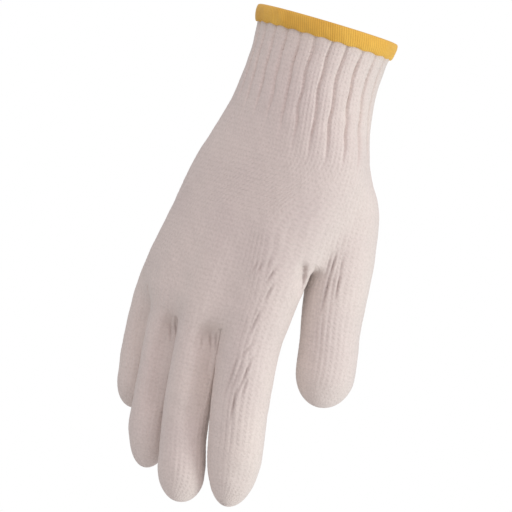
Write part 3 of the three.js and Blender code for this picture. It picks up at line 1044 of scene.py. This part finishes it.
# A material and helpers that add its nodes. An input is a value or another node's output.
class Nodes:
    def __init__(self, name):
        self.material = bpy.data.materials.new(name)
        self.material.use_nodes = True
        self.tree = self.material.node_tree
        self.shader = self.tree.nodes["Principled BSDF"]

    def add(self, kind, inputs=None, **settings):
        node = self.tree.nodes.new(kind)
        for key, value in settings.items():
            setattr(node, key, value)
        for key, value in (inputs or {}).items():
            self.put(node, key, value)
        return node

    def put(self, node, key, value):
        if isinstance(value, bpy.types.NodeSocket):
            self.tree.links.new(value, node.inputs[key])
        else:
            node.inputs[key].default_value = value

    def math(self, operation, *values):
        node = self.add("ShaderNodeMath", operation=operation)
        for i, value in enumerate(values):
            self.put(node, i, value)
        return node.outputs[0]

    def noise(self, scale, detail):
        place = self.add("ShaderNodeTexCoord").outputs["Object"]
        inputs = {"Vector": place, "Scale": scale, "Detail": detail}
        return self.add("ShaderNodeTexNoise", inputs).outputs["Fac"]

    # How far across and down the loops a point lies, as two outputs
    def loop_place(self):
        uv = self.add("ShaderNodeUVMap", uv_map="loops").outputs["UV"]
        split = self.add("ShaderNodeSeparateXYZ", {0: uv}).outputs
        return split["X"], split["Y"]

    def attribute(self, name):
        return self.add("ShaderNodeAttribute", attribute_name=name).outputs["Fac"]

    def two_colours(self, factor, first, second, low=0.3, high=0.7):
        ramp = self.add("ShaderNodeValToRGB", {"Fac": factor})
        ramp.color_ramp.elements[0].position = low
        ramp.color_ramp.elements[0].color = first
        ramp.color_ramp.elements[1].position = high
        ramp.color_ramp.elements[1].color = second
        return ramp.outputs["Color"]

    def blend(self, factor, first, second, kind="MIX"):
        node = self.add("ShaderNodeMix", data_type="RGBA", blend_type=kind)
        self.put(node, 0, factor)
        self.put(node, 6, first)
        self.put(node, 7, second)
        return node.outputs[2]

    def surface(self, colour, roughness, specular=0.5, sheen=0):
        self.put(self.shader, "Base Color", colour)
        self.put(self.shader, "Roughness", roughness)
        self.put(self.shader, "Specular IOR Level", specular)
        self.put(self.shader, "Sheen Weight", sheen)

    def bump(self, height, distance):
        inputs = {"Height": height, "Distance": distance, "Strength": BUMP_STRENGTH}
        self.put(self.shader, "Normal", self.add("ShaderNodeBump", inputs).outputs["Normal"])


# Undyed cotton yarn: matt, softly fuzzy, with two strands leaning together in every loop
def knit_material():
    nodes = Nodes("natural_knit")
    wale, course = nodes.loop_place()
    lean = nodes.math("ABSOLUTE", nodes.math("MULTIPLY_ADD", nodes.math("FRACT", wale), 2, -1))
    leaning = nodes.math("MULTIPLY_ADD", lean, STITCH_LEAN, course)
    twist = nodes.math("SINE", nodes.math("MULTIPLY", leaning, TWISTS_PER_LOOP * 2 * math.pi))
    loop = nodes.math("SINE", nodes.math("MULTIPLY", leaning, 2 * math.pi))
    fibre = nodes.noise(KNIT_FIBRE_SCALE, 3)
    fuzz = nodes.noise(FUZZ_SCALE, 3)
    height = nodes.math("MULTIPLY", loop, LOOP_PART)
    height = nodes.math("MULTIPLY_ADD", twist, TWIST_PART, height)
    height = nodes.math("MULTIPLY_ADD", fibre, FIBRE_PART, height)
    height = nodes.math("MULTIPLY_ADD", fuzz, FUZZ_PART, height)

    base = nodes.two_colours(nodes.noise(KNIT_TONE_SCALE, 2), *KNIT_TONES)
    specks = nodes.two_colours(nodes.noise(SPECK_SCALE, 2), *SPECK_TONES, 0.3, 0.6)
    colour = nodes.blend(SPECK_SHARE, base, specks, "MULTIPLY")
    # Painted shade in the gaps between wales, darker where the wales are stretched
    shade = nodes.math("MULTIPLY_ADD", nodes.attribute("stretch"), STRETCHED_SHADE, GAP_SHADE)
    gap = nodes.math("MULTIPLY", nodes.math("POWER", lean, GAP_NARROWNESS), shade)
    colour = nodes.blend(gap, colour, PAINTED_GAP_SHADE_COLOUR)
    # Painted shade in the gaps pulled open between wales
    opened = nodes.math("MULTIPLY", nodes.attribute("opened"), OPENED_SHADE)
    colour = nodes.blend(opened, colour, PAINTED_OPENED_SHADE_COLOUR)
    nodes.surface(colour, roughness=0.92, specular=0.15, sheen=0.25)
    nodes.put(nodes.shader, "Sheen Roughness", 0.6)
    nodes.bump(height, KNIT_BUMP)
    return nodes.material


# Dyed overedge thread, with painted shade in the grooves between threads
def hem_material():
    nodes = Nodes("hem_yarn")
    thread, step = nodes.loop_place()
    slant = THREAD_SLANT / (len(HEM_PROFILE) * PROFILE_STEPS)
    slanted = nodes.math("MULTIPLY_ADD", step, slant, thread)
    crest = nodes.math("ABSOLUTE", nodes.math("SINE", nodes.math("MULTIPLY", slanted, math.pi)))
    groove = nodes.math("SUBTRACT", 1, nodes.math("POWER", crest, GROOVE_NARROWNESS))
    base = nodes.two_colours(nodes.noise(HEM_TONE_SCALE, 3), *HEM_TONES)
    # Painted shade in the grooves between threads
    colour = nodes.blend(nodes.math("MULTIPLY", groove, GROOVE_SHADE), base, PAINTED_GROOVE_SHADE_COLOUR)
    nodes.surface(colour, roughness=0.8, specular=0.2, sheen=0.2)
    nodes.bump(nodes.noise(HEM_FIBRE_SCALE, 3), HEM_BUMP)
    return nodes.material


def floor_material():
    nodes = Nodes("floor")
    colour = nodes.two_colours(nodes.noise(FLOOR_TONE_SCALE, 2), *FLOOR_TONES)
    nodes.surface(colour, roughness=0.9)
    return nodes.material


# Gives a piece its material and the root body, and hides the imported part of its node
def dress(made, node, material):
    made.data.materials.append(material)
    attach(made, "root")
    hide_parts(node)


knit = knit_material()
hem = hem_material()
dress(hem_object("hem_overlock_threads"), "hem_overlock", hem)
dress(fabric_object("rib_cuff_knit", cuff_fabric()), "rib_cuff", knit)
dress(fabric_object("palm_body_knit", palm_fabric()), "palm_body", knit)

STALLS = {
    "thumb": ("thumb", THUMB_CUT),
    "index_finger": ("index", FINGER_CUT),
    "middle_finger": ("middle", FINGER_CUT),
    "ring_finger": ("ring", FINGER_CUT),
    "little_finger": ("little", LITTLE_CUT),
}
for node, (limb_name, cut) in STALLS.items():
    stall = fabric_object(node + "_knit", stall_fabric(limb_name, cut))
    dress(stall, node, knit)

# Name, metres towards the right, up and towards the camera, size in metres, watts and colour
LIGHTS = [
    ("key", 1.1, -0.45, 0.5, 0.5, 8.1, (0.93, 0.99, 1)),
    ("top", 0.2, 1, 0.8, 1.5, 8, (1, 0.8, 0.88)),
]
SKY_COLOUR = (0.985, 0.985, 1, 1)
SKY_STRENGTH = 0.535
BACKDROP_COLOUR = (1, 1, 1, 1)

# A round floor below the part: how far below in millimetres, its radius in metres and its corners
FLOOR_DROP = 120
FLOOR_RADIUS = 0.6
FLOOR_CORNERS = 96


# Directions to the right, up and towards the camera in its view, and the middle of the view in metres
def view_axes():
    up = np.array([0, 0, 1])
    right = math.cos(CAMERA_ROLL) * ACROSS_VIEW + math.sin(CAMERA_ROLL) * up
    upright = -math.sin(CAMERA_ROLL) * ACROSS_VIEW + math.cos(CAMERA_ROLL) * up
    middle = (right * VIEW_CENTRE[0] + upright * VIEW_CENTRE[1]) * MM
    return right, upright, TO_CAMERA, middle


def place_object(name, data, axes, place):
    made = bpy.data.objects.new(name, data)
    matrix = np.eye(4)
    matrix[:3, :3] = np.stack(axes, axis=1)
    matrix[:3, 3] = place
    made.matrix_world = Matrix(matrix.tolist())
    bpy.context.scene.collection.objects.link(made)
    return made


def place_camera():
    right, upright, back, middle = view_axes()
    data = bpy.data.cameras.new("camera")
    data.sensor_width = SENSOR_SIZE
    data.lens = SENSOR_SIZE * CAMERA_DISTANCE / VIEW_SIZE
    data.clip_start = 0.01
    data.clip_end = 50
    place = middle + back * CAMERA_DISTANCE * MM
    bpy.context.scene.camera = place_object("camera", data, (right, upright, back), place)


# Round area lights that face the middle of the view
def place_lights():
    right, upright, back, middle = view_axes()
    for name, aside, above, towards, size, watts, colour in LIGHTS:
        data = bpy.data.lights.new(name, "AREA")
        data.shape = "DISK"
        data.size = size
        data.energy = watts
        data.color = colour
        offset = right * aside + upright * above + back * towards
        side = unit(np.cross([0, 0, 1], offset))
        facing = unit(offset)
        place_object(name, data, (side, np.cross(facing, side), facing), middle + offset)


def place_floor():
    angles = np.arange(FLOOR_CORNERS) * 2 * math.pi / FLOOR_CORNERS
    heights = np.full(FLOOR_CORNERS, cad_box[0][2] - FLOOR_DROP * MM)
    places = np.stack([FLOOR_RADIUS * np.cos(angles), FLOOR_RADIUS * np.sin(angles), heights], -1)
    mesh = bpy.data.meshes.new("floor")
    mesh.from_pydata(places.tolist(), [], [list(range(FLOOR_CORNERS))])
    mesh.materials.append(floor_material())
    floor = bpy.data.objects.new("floor", mesh)
    bpy.context.scene.collection.objects.link(floor)


# Soft light from all round, in front of a plain white background
def place_world():
    world = bpy.data.worlds.new("studio")
    bpy.context.scene.world = world
    world.use_nodes = True
    tree = world.node_tree
    sky = tree.nodes["Background"]
    sky.inputs["Color"].default_value = SKY_COLOUR
    sky.inputs["Strength"].default_value = SKY_STRENGTH
    backdrop = tree.nodes.new("ShaderNodeBackground")
    backdrop.inputs["Color"].default_value = BACKDROP_COLOUR
    seen = tree.nodes.new("ShaderNodeLightPath")
    mixed = tree.nodes.new("ShaderNodeMixShader")
    tree.links.new(seen.outputs["Is Camera Ray"], mixed.inputs["Fac"])
    tree.links.new(sky.outputs["Background"], mixed.inputs[1])
    tree.links.new(backdrop.outputs["Background"], mixed.inputs[2])
    tree.links.new(mixed.outputs["Shader"], tree.nodes["World Output"].inputs["Surface"])


place_camera()
place_lights()
place_floor()
place_world()
bpy.context.scene.view_settings.view_transform = "Standard"
